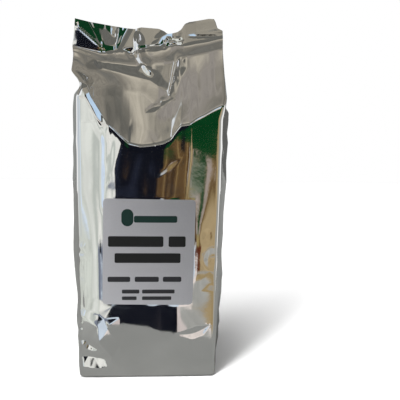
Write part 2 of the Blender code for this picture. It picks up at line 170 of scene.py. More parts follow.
# Folds of the pressed top seal, front and back together, as above. A positive height comes forward.
sealFolds = [
    ([(-35.2, 246), (-50.8, 259.4), (-53.2, 265.3)], 14, 13, 2, 0.2),
    ([(-35.2, 246.5), (-50.8, 259.4)], 0.9, 0.9, 0.3, 0.1),
    ([(-35.2, 246.5), (-38, 254), (-43, 263.5)], 1.2, 1.2, -0.3, 0.1),
    ([(-33.2, 252), (-33.2, 259.1)], 2, 2, 0.4, 0.2),
    ([(-23.7, 246.4), (-22.4, 261)], 2, 2.6, 0.9, 0.2),
    ([(-22, 248.1), (-16, 259.6)], 2.6, 4, -0.7, 0.3),
    ([(-8.3, 245.9), (-8.4, 259.6)], 2.2, 2.2, 0.6, 0.2),
    ([(4.5, 248), (9.3, 254.4), (13, 256.8)], 4, 5, 0.35, 0.3),
    ([(16, 247), (17.5, 258)], 8, 7, -0.5, 1.4),
    ([(25.6, 251.5), (25.5, 263.5)], 5, 9, 0.4, 1),
    ([(37.5, 255.6), (44.5, 255.9)], 0.9, 0.9, -0.2, 0.2),
    ([(-8.3, 249), (-6.5, 238), (-1, 230.8)], 6, 3.4, 1.5, 0.25),  # runs on into the top
    ([(-7.3, 245.6), (3.5, 247.5)], 1.2, 1.2, -0.45, 0.2),
]
sealWave = {
    "forward": [(-54, 4.2), (-27, 0), (54, 0)],  # how far forward its left end stands
    "forwardSoft": 2.0,
    "lean": [(-54, 0), (-37, 0), (-31, 0.18), (10, 0.21), (24, 0.22), (54, 0.23)],  # backwards
    "leanSoft": 3.0,
    "leanLow": -6.0,  # the lean goes on this far below the seal
    "start": 0.55,  # share of the way from ridge to seal at which the seal's folds begin
}

# Folds of the back film as seen from the back: line, reaches, height, round
backFolds = [
    ([(-27, 192), (-26, 60)], 7, 7, 0.5, 1.2),
    ([(28, 190), (27, 70)], 7, 7, 0.5, 1.2),
    ([(-44, 226), (-20, 231), (6, 224), (24, 228), (46, 222)], 8, 10, -1.3, 1),
    ([(14, 246), (10, 214)], 5, 7, 1, 0.4),
    ([(-22, 245), (-30, 228)], 5, 6, 0.9, 0.4),
]
backSeam = {"half": 5.5, "rise": 0.7, "edge": 0.5}

# Folds of the gussets: the same, with places from the front fold (-) to the back fold (+)
gussetFolds = {
    "left": [
        ([(-33, 4), (0, 36), (33, 4)], 7, 7, 0.9, 0.5),
        ([(0, 36), (1.5, 120), (-1, 205)], 6, 6, -0.9, 0.5),
        ([(-32, 180), (-6, 206)], 6, 6, 0.7, 0.6),
    ],
    "right": [
        ([(-33, 4), (0, 34), (33, 4)], 7, 7, 0.9, 0.5),
        ([(0, 34), (-1.5, 110), (1, 195)], 6, 6, -0.9, 0.5),
        ([(-32, 176), (-8, 196)], 6, 6, 0.7, 0.6),
    ],
}

# Crushed foil is flat facets between points: place along the panel, height, how far it stands out
cornerFacets = [  # lower left corner of the front
    (-50.5, 66, 0), (-37, 64, 0), (-25, 60, 0), (-20, 50, 0), (-20, 38, 0), (-20, 27, 0),
    (-19.5, 16, 0), (-21, 8, 0), (-24, 4, 0), (-38, 3.5, 0), (-50, 3.5, 0), (-46.6, 56.3, -0.2),
    (-41.5, 54.9, -0.25), (-37.1, 53.1, -0.35), (-32, 49, 0), (-27.5, 44.3, 0.7), (-50.5, 53, 0.1),
    (-48.1, 50.8, 0.6), (-42, 46.6, 0.7), (-36.4, 42.7, 0.9), (-29, 41.1, 0.5), (-50.5, 43, 0.6),
    (-50.5, 35.6, 0.6), (-45.7, 34.4, 0.7), (-40.9, 33.1, 0.9), (-35.8, 29.1, 2), (-31, 23.2, 1.7),
    (-26.1, 16.8, 1.5), (-50.6, 32, 0.1), (-47.6, 27.7, 1.1), (-44.6, 30.6, -0.5),
    (-43.8, 28.2, -1.1), (-40.2, 25.9, -0.8), (-35, 22.9, 0.1), (-45.4, 23.6, 0.1), (-41, 22, 0.2),
    (-36, 19.5, 0.1), (-50, 21.1, 0.1), (-49.8, 18.9, -0.7), (-44, 18, -1.1), (-38.8, 17.4, -1.1),
    (-32, 16.4, -0.5), (-48.6, 9.5, 1.3), (-42, 8.4, 1.5), (-35.2, 7.9, 1.6), (-29.1, 9.5, 1.4),
]
pinchFacets = [  # pinched fold from the top seal down to the left, crest at its upper left
    (20.5, 246, 0), (18.6, 241, 0), (17, 233, 0), (15.5, 225, 0), (13.9, 217.5, 0), (8, 211.1, 0),
    (2.5, 206.2, 0), (-3.5, 201.6, 0), (26.5, 242, 0), (27.4, 233, 0), (23, 225, 0),
    (20.2, 217.5, 0), (18.4, 211, 0), (12, 206.3, 0), (4.7, 202.4, 0), (20.6, 240, 1.3),
    (19, 233, 1.5), (17.2, 225, 1.4), (15.6, 217.5, 1.3), (9.2, 210, 1.2), (3.6, 205.2, 0.8),
    (22.6, 239, 0.4), (21.8, 233, 0.3), (19, 225, 0.5), (17.2, 217.5, 0.5), (24, 238, 0.8),
    (23.4, 233, 0.8), (20.3, 225, 0.8), (14.2, 211.6, 0.6), (8.4, 207.2, 0.5),
]
crescentFacets = [  # lower right of the front
    (22.5, 35.9, 0), (35.5, 41.6, 0), (49, 43.6, 0.1), (42.6, 34.8, 0), (34.1, 30.6, 0.05),
    (28, 35.9, -0.15), (33, 36.2, -0.3), (38, 37.4, -0.36), (44, 40.2, -0.3),
]
pocketFacets = [  # small pocket under the top seal
    (-20, 245, 0), (-14.2, 238, 0), (-8.8, 238.9, 0), (-8.2, 245.6, 0), (-14, 245.8, 0),
    (-13.6, 241, -1.9),
]
# Scattered facets elsewhere: panel, middle, half sizes, spacing, how far they stand out, seed
crumples = [
    ("front", -48.6, 90, 4, 26, 4.5, 0.32, 4),
    ("front", 46, 100, 7, 30, 8, 0.28, 6),
    ("front", 17, 246, 8, 5, 3.6, 0.25, 7),
    ("front", -20, 246, 26, 3.5, 5.5, 0.15, 8),
    ("seal", 16.5, 250.5, 8.5, 4.5, 2, 0.5, 21),
    ("seal", -26.5, 253.5, 4.5, 5.5, 2.8, 0.25, 22),
    ("back", 36, 30, 16, 26, 9, 0.9, 9),
    ("back", -38, 28, 13, 22, 8, 0.7, 10),
    ("back", 0, 240, 44, 9, 7, 0.45, 11),
    ("back", 0, 110, 46, 76, 14, 0.5, 16),
    ("left", 0, 32, 30, 26, 10, 1.1, 12),
    ("left", 0, 124, 28, 70, 12, 1.1, 13),
    ("right", 0, 32, 30, 26, 10, 1.1, 14),
    ("right", 0, 120, 28, 66, 12, 1.1, 15),
]
# Shallow waves all over the film
waves = {
    "front": [
        (-50, 0.06), (-30, 0.08), (-10, 0.07), (8, 0.09), (14, 0.15), (26, 0.15), (34, 0.11),
        (50, 0.12),
    ],
    "frontRise": 60.0,  # height at which they are whole
    "calm": 0.5,  # share that they lose towards the top
    "calmStart": 180.0,
    "calmRun": 30.0,
    "back": 0.16,
    "backShift": (20, 11),  # so that no two panels wave alike
    "side": 0.18,
    "sideShift": (7, 5),
    "rise": 40.0,  # for the back and the sides
}


def along(points, at, blur=0.0):
    # value at a place on a line of (place, value) points, softened over a little distance
    places, values = zip(*points)
    if not blur:
        return np.interp(at, places, values)
    return sum(np.interp(at + blur * step, places, values) for step in (-1, -0.5, 0, 0.5, 1)) / 5


def ease(share):
    share = np.clip(share, 0.0, 1.0)
    return share * share * (3 - 2 * share)


def foldHeight(fold, x, z):
    # a chain of straight folds with one crest, which falls off to both sides and past its ends
    line, leftReach, rightReach, height, crest = fold
    runOut = 9.0  # how slowly it falls off past its ends
    best = np.zeros_like(x)
    for (x0, z0), (x1, z1) in zip(line, line[1:]):
        runX, runZ = x1 - x0, z1 - z0
        length = math.hypot(runX, runZ)
        run = ((x - x0) * runX + (z - z0) * runZ) / length
        side = ((z - z0) * runX - (x - x0) * runZ) / length
        reach = np.where(side > 0, leftReach, rightReach)
        beyond = np.maximum(np.maximum(-run, run - length), 0.0) * np.minimum(reach / runOut, 1.0)
        away = np.sqrt(side ** 2 + beyond ** 2 + crest ** 2) - crest
        best = np.maximum(best, 1.0 - away / reach)
    foot = 0.3  # the foot of the fold runs out softly below this share of its height
    shape = np.where(best < foot, best * best / (2 * foot), best - foot / 2)
    return height * shape / (1 - foot / 2)


def dentDepth(dent, x, z):
    middleX, middleZ, halfWidth, halfHeight, depth = dent
    spread = ((x - middleX) / halfWidth) ** 2 + ((z - middleZ) / halfHeight) ** 2
    return depth * np.maximum(0.0, 1.0 - spread) ** 1.5


def facetHeight(points, x, z):
    # flat facets between scattered points, each (x, z, height), and nothing outside them
    flat = [Vector(point[:2]) for point in points]
    total = np.zeros_like(x)
    for corners in delaunay_2d_cdt(flat, [], [], 0, 1e-6)[2]:
        (x0, z0, h0), (x1, z1, h1), (x2, z2, h2) = (points[corner] for corner in corners)
        area = (x1 - x0) * (z2 - z0) - (x2 - x0) * (z1 - z0)
        share1 = ((x - x0) * (z2 - z0) - (x2 - x0) * (z - z0)) / area
        share2 = ((x1 - x0) * (z - z0) - (x - x0) * (z1 - z0)) / area
        inside = (share1 >= 0) & (share2 >= 0) & (share1 + share2 < 1)
        total += np.where(inside, h0 + (h1 - h0) * share1 + (h2 - h0) * share2, 0.0)
    return total


def crumpleHeight(panel, x, z):
    # scattered facets, the same in every run, which run out to nothing at the rim of their place
    stray = 0.38  # how far a point may move, as a share of the spacing
    total = np.zeros_like(x)
    for where, middleX, middleZ, halfWidth, halfHeight, spacing, height, seed in crumples:
        if where != panel:
            continue
        chance = np.random.default_rng(seed)
        across, up = (max(2, round(2 * half / spacing)) for half in (halfWidth, halfHeight))
        points = []
        for i in range(across + 1):
            for j in range(up + 1):
                rim = i in (0, across) or j in (0, up)
                shift = chance.uniform(-stray, stray, 2) * (0 if rim else 1)
                pointX = middleX + halfWidth * (2 * (i + shift[0]) / across - 1)
                pointZ = middleZ + halfHeight * (2 * (j + shift[1]) / up - 1)
                points.append((pointX, pointZ, 0.0 if rim else height * chance.uniform(-1, 1)))
        total += facetHeight(points, x, z)
    return total


def softWaves(x, z, amount):
    # long shallow waves of a filled film, mostly upright
    upright = 0.45 * np.sin(x / 4.1 + 0.9 * np.sin(z / 31.0) + 0.4)
    slanting = 0.35 * np.sin(x / 2.6 - z / 37.0 + 1.7)
    level = 0.40 * np.sin(z / 9.5 + 1.3 * np.sin(x / 13.0))
    crossing = 0.25 * np.sin(z / 5.2 + x / 7.5 + 0.6)
    return amount * (upright + slanting + level + crossing)


label = {
    "width": 66.5,
    "height": 80.0,
    "middle": (0.8, 100.3),
    "turn": math.radians(-0.6),
    "corner": 3.0,
    "paper": 0.15,  # thickness
    "gap": 0.05,
    "cell": 0.9,  # size of a face
    "rim": 1.5,  # how far past the paper the film is held flat
    "rimFade": 3.0,
    "sharp": math.radians(50),
    "cadOut": 0.8,  # outer face of the CAD's label, in front of the film
}


def underLabel(x, z):
    # 1 under the paper, which holds the film flat, and 0 away from it
    inside = [
        (label[side] / 2 + label["rim"] - np.abs(place - middle)) / label["rimFade"]
        for side, place, middle in zip(("width", "height"), (x, z), label["middle"])
    ]
    return ease(np.minimum(*inside))


def frontRelief(x, z):
    folds = sum(foldHeight(fold, x, z) for fold in frontFolds)
    dents = sum(dentDepth(dent, x, z) for dent in frontDents)
    calm = waves["calm"] * ease((z - waves["calmStart"]) / waves["calmRun"])
    fade = ease(z / waves["frontRise"]) * (1 - calm)
    free = 1 - underLabel(x, z)
    for facets in (cornerFacets, pinchFacets, crescentFacets):
        folds += facetHeight(facets, x, z)
    small = softWaves(x, z, along(waves["front"], x) * fade) + crumpleHeight("front", x, z)
    return folds - dents + small * free


def backRelief(x, z):
    # x as seen from the back
    folds = sum(foldHeight(fold, x, z) for fold in backFolds)
    seam = backSeam["rise"] * ease((backSeam["half"] - np.abs(x)) / backSeam["edge"] + 0.5)
    shiftX, shiftZ = waves["backShift"]
    soft = softWaves(x + shiftX, z + shiftZ, waves["back"] * ease(z / waves["rise"]))
    return folds + seam + soft + crumpleHeight("back", x, z)


def gussetRelief(side, across, z):
    # across runs from the front fold to the back fold of a gusset, 0 in its middle
    folds = sum(foldHeight(fold, across, z) for fold in gussetFolds[side])
    shiftX, shiftZ = waves["sideShift"]
    soft = softWaves(across + shiftX, z + shiftZ, waves["side"] * ease(z / waves["rise"]))
    return folds + soft + crumpleHeight(side, across, z)


def ringPlaces():
    # columns of one turn: panel number, share of the panel, and how far round a corner
    width, depth = film["leftFold"] + film["rightFold"], film["depth"]
    steps, places = film["foldColumns"], []
    for number, (side, count) in enumerate(zip((width, depth, width, depth), film["columns"])):
        fold = film["foldRound"] / side
        places += [(number, fold + (1 - 2 * fold) * step / count, 0.0) for step in range(count + 1)]
        places += [(number, 1.0, (step + 1) / (steps + 1)) for step in range(steps)]
    return places


def rowPlaces():
    # rows from the bottom up: zone number (0 body, 1 roof, 2 seal) and height or share in the zone
    body = np.linspace(film["baseRound"], film["bodyTop"], film["bodyRows"])
    roof, seal = (np.linspace(0, 1, film[kind] + 1)[1:] for kind in ("roofRows", "sealRows"))
    zones = enumerate((body, roof, seal))
    return [(number, level) for number, levels in zones for level in levels]


def byZone(zone, body, roof, seal):
    return np.select([zone == 0, zone == 1], [body, roof], seal)


def bySide(isLeft, kind, at, soft=(0, 0)):
    # value at a place on the left or the right line of a kind
    sides = zip(("left", "right"), soft)
    return np.where(isLeft, *(along(film[side + kind], at, blur) for side, blur in sides))


def softMin(first, second):
    # the lower of two, with the corner between them rounded
    near = np.maximum(film["ridgeRound"] - np.abs(first - second), 0.0)
    return np.minimum(first, second) - near * near / (4 * film["ridgeRound"])


def panelDepth(x, z, half, isLeft, isBack, towardsBack, ridge, seal):
    # distance of a panel from the middle plane: the full body meets the empty top at the ridge
    flat = bySide(isLeft, "Flat", z, film["flatSoft"])
    outside = np.clip(1.0 - (half - np.abs(x)) / (half - flat), 0.0, 1.0)
    facet = film["crown"] * (1 - outside ** film["crownPower"])
    top = ease((z - film["crownTopStart"]) / film["crownTopBlend"])
    crownTop = along(film["crownTop"], x, film["crownTopSoft"])
    facet += (crownTop - facet) * np.where(isBack, 0.0, top)
    crown = (film["crownLow"] + (1 - film["crownLow"]) * ease(z / film["crownRise"])) * facet
    body = film["depth"] / 2 + crown - film["lean"] * np.maximum(0.0, z - film["leanStart"])
    calm = along(film["frontRidge"], x, film["ridgeCalm"])
    calm += (along(film["backRidge"], x, film["ridgeCalm"]) - calm) * towardsBack
    foot = ridge + (calm - ridge) * ease((z - ridge) / film["ridgeCalmRise"])
    atRidge = film["depth"] / 2 + crown - film["lean"] * np.maximum(0.0, foot - film["leanStart"])
    up = (z - foot) / (seal - foot)
    sag = film["roofSag"] * 4 * np.clip(up, 0, 1) * np.clip(1 - up, 0, 1) * (1 - (x / half) ** 2)
    roof = film["sealHalf"] + (atRidge - film["sealHalf"]) * (1 - up) - sag
    cut = body + film["ridgeCutTilt"] * (roof - body) - along(film["ridgeCut"], x)
    return softMin(softMin(body, cut), softMin(cut, roof))


def sealForward(x, z, seal, zone, level):
    # how far the top seal and the film just below it wave forward together
    share = byZone(zone, 0.0, level, 1.0)
    fade = ease((share - sealWave["start"]) / (1 - sealWave["start"]))
    wave = sum(foldHeight(fold, x, z) for fold in sealFolds)
    wave += facetHeight(pocketFacets, x, z) + crumpleHeight("seal", x, z)
    lean = along(sealWave["lean"], x, sealWave["leanSoft"])
    lean *= np.maximum(z - seal, sealWave["leanLow"])
    wave += along(sealWave["forward"], x, sealWave["forwardSoft"]) - lean
    return fade * wave


def gussetOut(z, corner, isLeft, towardsBack, depth):
    # distance of a side from the middle: bulging below the shoulder and tucked in above it
    shoulder = np.where(isLeft, gussets["leftShoulder"], gussets["rightShoulder"])
    swell = np.minimum(z / gussets["bulgeRise"], 1.0)
    leftBulge = along(gussets["leftBulge"], z, gussets["leftBulgeSoft"])
    bulge = np.where(isLeft, leftBulge, gussets["rightBulge"])
    bulge *= 1 - (1 - swell) ** 2
    bulge *= 1 - ease((z - shoulder) / gussets["shoulderFade"] + 0.5)
    bulge *= np.sin(math.pi * towardsBack) ** gussets["bulgePower"]
    roofRise = np.maximum(0.0, (z - shoulder) / (gussets["top"] - shoulder))
    tuck = gussets["tuck"] * np.minimum(roofRise / gussets["tuckRamp"], 1.0)
    tuck = np.minimum(tuck, 2 * (depth - film["sealHalf"]))
    tent = 1.0 - np.abs(2 * towardsBack - 1.0)
    across = (towardsBack - 0.5) * film["depth"]
    relief = np.where(isLeft, *(gussetRelief(side, across, z) for side in ("left", "right")))
    relief *= np.minimum(1.0, gussets["edge"] * tent) * (1 - ease(roofRise * gussets["creaseFade"]))
    return corner - tuck * tent + bulge + relief


def filmPlaces(panel, share, zone, level):
    # places of the film for matching arrays of panel number, share, zone and level
    leftFold, rightFold = film["leftFold"], film["rightFold"]
    width = leftFold + rightFold
    isFront, isRight, isBack = (panel == number for number in range(3))
    panels = [isFront, isRight, isBack]
    over = width * share
    x = np.select(panels, [over - leftFold, rightFold, rightFold - over], -leftFold)
    towardsBack = np.select(panels, [0.0, share, 1.0], 1.0 - share)
    isLeft = x < 0
    half = np.where(isLeft, leftFold, rightFold)

    frontRidge = along(film["frontRidge"], x, film["lineSoft"])
    backRidge = along(film["backRidge"], x, film["backRidgeSoft"])
    ridge = frontRidge + (backRidge - frontRidge) * towardsBack
    sealEnd, topEnd = (
        np.where(isLeft, film["left" + kind][-1][1], film["right" + kind][-1][1])
        for kind in ("Corner", "SealEnd")
    )
    seal = along(film["sealLine"], x / half * sealEnd, film["lineSoft"])
    topEdge = along(film["topEdge"], x / half * topEnd, film["topEdgeSoft"])
    morph = np.maximum(0.0, (level - film["rowMorph"]) / (film["bodyTop"] - film["rowMorph"]))
    body = level + (ridge - film["bodyTop"]) * morph
    z = byZone(zone, body, ridge + (seal - ridge) * level, seal + (topEdge - seal) * level)
    below = bySide(isLeft, "Corner", z, film["cornerSoft"])
    corner = np.where(zone == 2, bySide(isLeft, "SealEnd", level), below)
    placeX = x / half * corner

    full = panelDepth(x, z, half, isLeft, isBack, towardsBack, ridge, seal)
    pressed = ease(byZone(zone, 0.0, (level - film["pressStart"]) / film["pressRun"], 1.0))
    thin = film["sealHalf"]
    front, back = full + frontRelief(placeX, z), full + backRelief(-placeX, z)
    front, back = (np.maximum(side + (thin - side) * pressed, thin) for side in (front, back))
    forward = sealForward(placeX, z, seal, zone, level)
    out = gussetOut(z, corner, isLeft, towardsBack, np.minimum(front, back))

    x = np.where(isFront | isBack, placeX, np.where(isRight, out, -out))
    between = -front + (front + back) * towardsBack
    y = np.where(isFront, -front, np.where(isBack, back, between)) - forward
    return np.stack([x, y, z], axis=-1)


def roundCorners(places, columns, count):
    # each corner fold becomes a smooth curve between the two panels that it joins
    total = len(columns)
    starts = [i for i in range(total) if columns[i][2] and not columns[i - 1][2]]
    for first in starts:
        before, after = places[:, first - 1], places[:, (first + count) % total]
        corner = places[:, first].copy()
        for step in range(count):
            t = columns[first + step][2]
            rest = 1 - t
            places[:, first + step] = rest ** 2 * before + 2 * t * rest * corner + t * t * after
    return places


def filmRows():
    columns, rows = ringPlaces(), rowPlaces()
    panel, share, _ = (np.array(values) for values in zip(*columns))
    zone, level = (np.array(values) for values in zip(*rows))
    grids = np.broadcast_arrays(panel, share, zone[:, None], level[:, None])
    places = roundCorners(filmPlaces(*grids), columns, film["foldColumns"])
    # the bottom fold turns in under the lowest row
    lowest, base = places[0], []
    for turn in range(film["baseTurns"]):
        angle = turn / film["baseTurns"] * math.pi / 2
        pulledIn = film["baseRound"] * (1 - math.sin(angle))
        row = lowest.copy()
        for axis in (0, 1):
            nearness = np.minimum(1.0, np.abs(row[:, axis]) / film["baseFade"])
            row[:, axis] -= np.sign(row[:, axis]) * pulledIn * nearness
        row[:, 2] = film["baseRound"] * (1 - math.cos(angle))
        base.append(row)
    return np.concatenate([np.array(base), places])


# The bag stands in the frame where its CAD node stands
labelLow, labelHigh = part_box("label")
labelOut = film["depth"] / 2 + film["crown"] + label["cadOut"]  # its outer face, from the middle
shiftX = (labelLow.x + labelHigh.x) / 2 - label["middle"][0] * mm
bagShift = Vector((shiftX, labelLow.y + labelOut * mm, 0.0))


def finishObject(name, edit, material, node, sharpAngle):
    for face in edit.faces:
        face.smooth = True
    for edge in edit.edges:
        edge.smooth = not edge.is_manifold or edge.calc_face_angle(0.0) < sharpAngle
    mesh = bpy.data.meshes.new(name)
    edit.to_mesh(mesh)
    edit.free()
    mesh.transform(Matrix.Translation(bagShift) @ Matrix.Scale(mm, 4))
    mesh.materials.append(material)
    piece = bpy.data.objects.new(name, mesh)
    bpy.context.scene.collection.objects.link(piece)
    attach(piece, "root")
    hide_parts(node)
    print(name, len(mesh.polygons), "faces")


def makeFilm(material):
    places = filmRows()
    rowCount, columnCount = places.shape[:2]
    edit = bmesh.new()
    bmesh.ops.create_grid(edit, x_segments=columnCount, y_segments=rowCount - 1, size=1.0)
    closed = np.concatenate([places, places[:, :1]], axis=1).reshape(-1, 3)
    for vert, place in zip(edit.verts, closed):
        vert.co = place
    bmesh.ops.remove_doubles(edit, verts=edit.verts, dist=film["weld"])
    bmesh.ops.holes_fill(edit, edges=[edge for edge in edit.edges if edge.is_boundary], sides=0)
    bmesh.ops.triangulate(edit, faces=[face for face in edit.faces if len(face.verts) > 4])
    bmesh.ops.recalc_face_normals(edit, faces=edit.faces)
    finishObject("foil_film", edit, material, "foil_bag", film["sharp"])


def makeLabel(material):
    columns, rows = (round(label[side] / label["cell"]) for side in ("width", "height"))
    halfX, halfY = label["width"] / 2, label["height"] / 2
    edit = bmesh.new()
    stretch = Matrix.Diagonal((halfX, halfY, 1.0, 1.0))
    bmesh.ops.create_grid(edit, x_segments=columns, y_segments=rows, size=1.0, matrix=stretch)
    insideX, insideY = halfX - label["corner"], halfY - label["corner"]
    for vert in edit.verts:  # square corners become quarter rounds
        overX, overY = abs(vert.co.x) - insideX, abs(vert.co.y) - insideY
        if overX > 0 and overY > 0:
            pull = max(overX, overY) / math.hypot(overX, overY)
            vert.co.x = math.copysign(insideX + overX * pull, vert.co.x)
            vert.co.y = math.copysign(insideY + overY * pull, vert.co.y)
    grown = bmesh.ops.extrude_face_region(edit, geom=edit.faces[:])["geom"]
    outer = {item for item in grown if isinstance(item, bmesh.types.BMVert)}
    spin = Matrix.Rotation(label["turn"], 2)
    flat = [Vector(label["middle"]) + spin @ vert.co.xy for vert in edit.verts]
    x, z = (np.array([place[axis] for place in flat]) for axis in (0, 1))
    share = (x + film["leftFold"]) / (film["leftFold"] + film["rightFold"])
    zeros = np.zeros_like(x)
    for vert, place in zip(edit.verts, filmPlaces(zeros, share, zeros, z)):
        thickness = label["paper"] if vert in outer else 0.0
        vert.co = (place[0], place[1] - label["gap"] - thickness, place[2])
    bmesh.ops.recalc_face_normals(edit, faces=edit.faces)
    finishObject("paper_label", edit, material, "label", label["sharp"])


def newNode(tree, kind, settings):
    node = tree.nodes.new("ShaderNode" + kind)
    for socket, value in settings.items():
        node.inputs[socket].default_value = value
    return node


def newMaterial(name, settings):
    material = bpy.data.materials.new(name)
    material.use_nodes = True
    shader = material.node_tree.nodes["Principled BSDF"]
    for socket, value in settings.items():
        shader.inputs[socket].default_value = value
    return material, material.node_tree, shader


def objectPattern(tree, kind, settings):
    # a texture node that reads Object coordinates
    coordinate = tree.nodes.new("ShaderNodeTexCoord")
    texture = newNode(tree, kind, settings)
    tree.links.new(coordinate.outputs["Object"], texture.inputs["Vector"])
    return texture


def twoTones(tree, source, first, second):
    ramp = tree.nodes.new("ShaderNodeValToRGB")
    for element, tone in zip(ramp.color_ramp.elements, (first, second)):
        element.color = tone
    tree.links.new(source, ramp.inputs["Fac"])
    return ramp.outputs["Color"]


def addBump(tree, shader, source, settings):
    bump = newNode(tree, "Bump", settings)
    tree.links.new(source, bump.inputs["Height"])
    tree.links.new(bump.outputs["Normal"], shader.inputs["Normal"])
    return bump


def mathNode(tree, operation, first, second=None):
    node = tree.nodes.new("ShaderNodeMath")
    node.operation = operation
    for socket, value in zip(node.inputs, (first, second)):
        if isinstance(value, (int, float)):
            socket.default_value = value
        elif value is not None:
            tree.links.new(value, socket)
    return node.outputs[0]


def mixColour(tree, share, first, second):
    mix = tree.nodes.new("ShaderNodeMix")
    mix.data_type = "RGBA"
    tree.links.new(share, mix.inputs["Factor"])
    for socket, value in (("A", first), ("B", second)):
        if isinstance(value, tuple):
            mix.inputs[socket].default_value = value
        else:
            tree.links.new(value, mix.inputs[socket])
    return mix.outputs["Result"]


# Each look gives the settings of its nodes. A bump's distance is in metres.
foilLook = {
    "film": {"Base Color": (0.86, 0.86, 0.85, 1), "Metallic": 1.0},
    "haze": {"Scale": 45.0, "Detail": 4.0},
    "roughness": {"To Min": 0.03, "To Max": 0.08},  # between the hazy places and in them
    "ripple": {"Scale": 260.0, "Detail": 2.0},
    "rippleBump": {"Strength": 0.035, "Distance": 0.0004},
}


def makeFoilMaterial():
    material, tree, shader = newMaterial("mirror_foil", foilLook["film"])
    haze = objectPattern(tree, "TexNoise", foilLook["haze"])
    roughness = newNode(tree, "MapRange", foilLook["roughness"])
    tree.links.new(haze.outputs["Fac"], roughness.inputs["Value"])
    tree.links.new(roughness.outputs["Result"], shader.inputs["Roughness"])
    ripple = objectPattern(tree, "TexNoise", foilLook["ripple"])
    addBump(tree, shader, ripple.outputs["Fac"], foilLook["rippleBump"])
    return material


# Plain printed marks on the label: middle x and z, half width, half height, ink, and the round of
# the corners as a share of the shorter half
marks = [
    (-14.7, 126.7, 4.3, 6.4, "green", 1),
    (5.6, 125.6, 15.6, 2.5, "green", 0.5),
    (-8.6, 108.9, 20, 4, "black", 0.3),
    (21.4, 108.9, 6.2, 4, "black", 0.3),
    (0.1, 96.4, 24, 3.7, "black", 0.3),
    (-20.8, 80.1, 8.2, 2, "grey", 0.5),
    (-0.4, 80.1, 8.8, 2, "grey", 0.5),
    (18.2, 80.1, 6.8, 2, "grey", 0.5),
    (-12.2, 70.6, 6.4, 1.5, "grey", 0.5),
    (8.2, 70.6, 12, 1.5, "grey", 0.5),
    (-13.2, 65.4, 5.4, 1.4, "grey", 0.5),
    (7, 65.4, 10.8, 1.4, "grey", 0.5),
]
inks = {
    "green": (0.004, 0.035, 0.028, 1),
    "black": (0.006, 0.006, 0.007, 1),
    "grey": (0.03, 0.03, 0.035, 1),
}
paperLook = {
    "paper": {"Roughness": 0.55},
    "fibre": {"Scale": 900.0, "Detail": 3.0},
    # the paper's off-white, painted darker grey as shade on the label
    "tones": ((0.59, 0.59, 0.62, 1), (0.65, 0.65, 0.68, 1)),
    "grain": {"Strength": 0.15, "Distance": 0.0001},
}


def makeLabelMaterial():
    material, tree, shader = newMaterial("label_paper", paperLook["paper"])
    fibre = objectPattern(tree, "TexNoise", paperLook["fibre"])
    # the paper's colour carries painted shade: its tones are darker than white paper
    colour = twoTones(tree, fibre.outputs["Fac"], *paperLook["tones"])
    coordinate = tree.nodes.new("ShaderNodeTexCoord")
    split = tree.nodes.new("ShaderNodeSeparateXYZ")
    tree.links.new(coordinate.outputs["Object"], split.inputs["Vector"])
    for middleX, middleZ, halfWidth, halfHeight, ink, corner in marks:
        mask = inkMask(tree, split, middleX, middleZ, halfWidth, halfHeight, corner)
        colour = mixColour(tree, mask, colour, inks[ink])
    tree.links.new(colour, shader.inputs["Base Color"])
    addBump(tree, shader, fibre.outputs["Fac"], paperLook["grain"])
    return material


def inkMask(tree, split, middleX, middleZ, halfWidth, halfHeight, corner):
    # 1 inside a plain bar with rounded ends
    overs = []
    corner *= min(halfWidth, halfHeight) * mm
    sides = (("X", middleX, halfWidth, bagShift.x), ("Z", middleZ, halfHeight, 0.0))
    for axis, middle, half, shift in sides:
        away = mathNode(tree, "SUBTRACT", split.outputs[axis], middle * mm + shift)
        over = mathNode(tree, "SUBTRACT", mathNode(tree, "ABSOLUTE", away), half * mm - corner)
        over = mathNode(tree, "MAXIMUM", over, 0.0)
        overs.append(mathNode(tree, "MULTIPLY", over, over))
    reach = mathNode(tree, "SQRT", mathNode(tree, "ADD", *overs))
    return mathNode(tree, "LESS_THAN", reach, corner)


seedLook = {
    "seed": {"Roughness": 0.75},
    "grain": {"Scale": 130.0},
    "tones": ((0.38, 0.26, 0.15, 1), (0.14, 0.08, 0.045, 1)),
    "bump": {"Strength": 1.0, "Distance": 0.001},
}


def makeSeedMaterial():
    material, tree, shader = newMaterial("seed", seedLook["seed"])
    grain = objectPattern(tree, "TexVoronoi", seedLook["grain"])
    colour = twoTones(tree, grain.outputs["Distance"], *seedLook["tones"])
    tree.links.new(colour, shader.inputs["Base Color"])
    addBump(tree, shader, grain.outputs["Distance"], seedLook["bump"]).invert = True
    return material


dark = (0.006, 0.007, 0.012)
green = (0.003, 0.045, 0.012)
brown = (0.13, 0.075, 0.032)
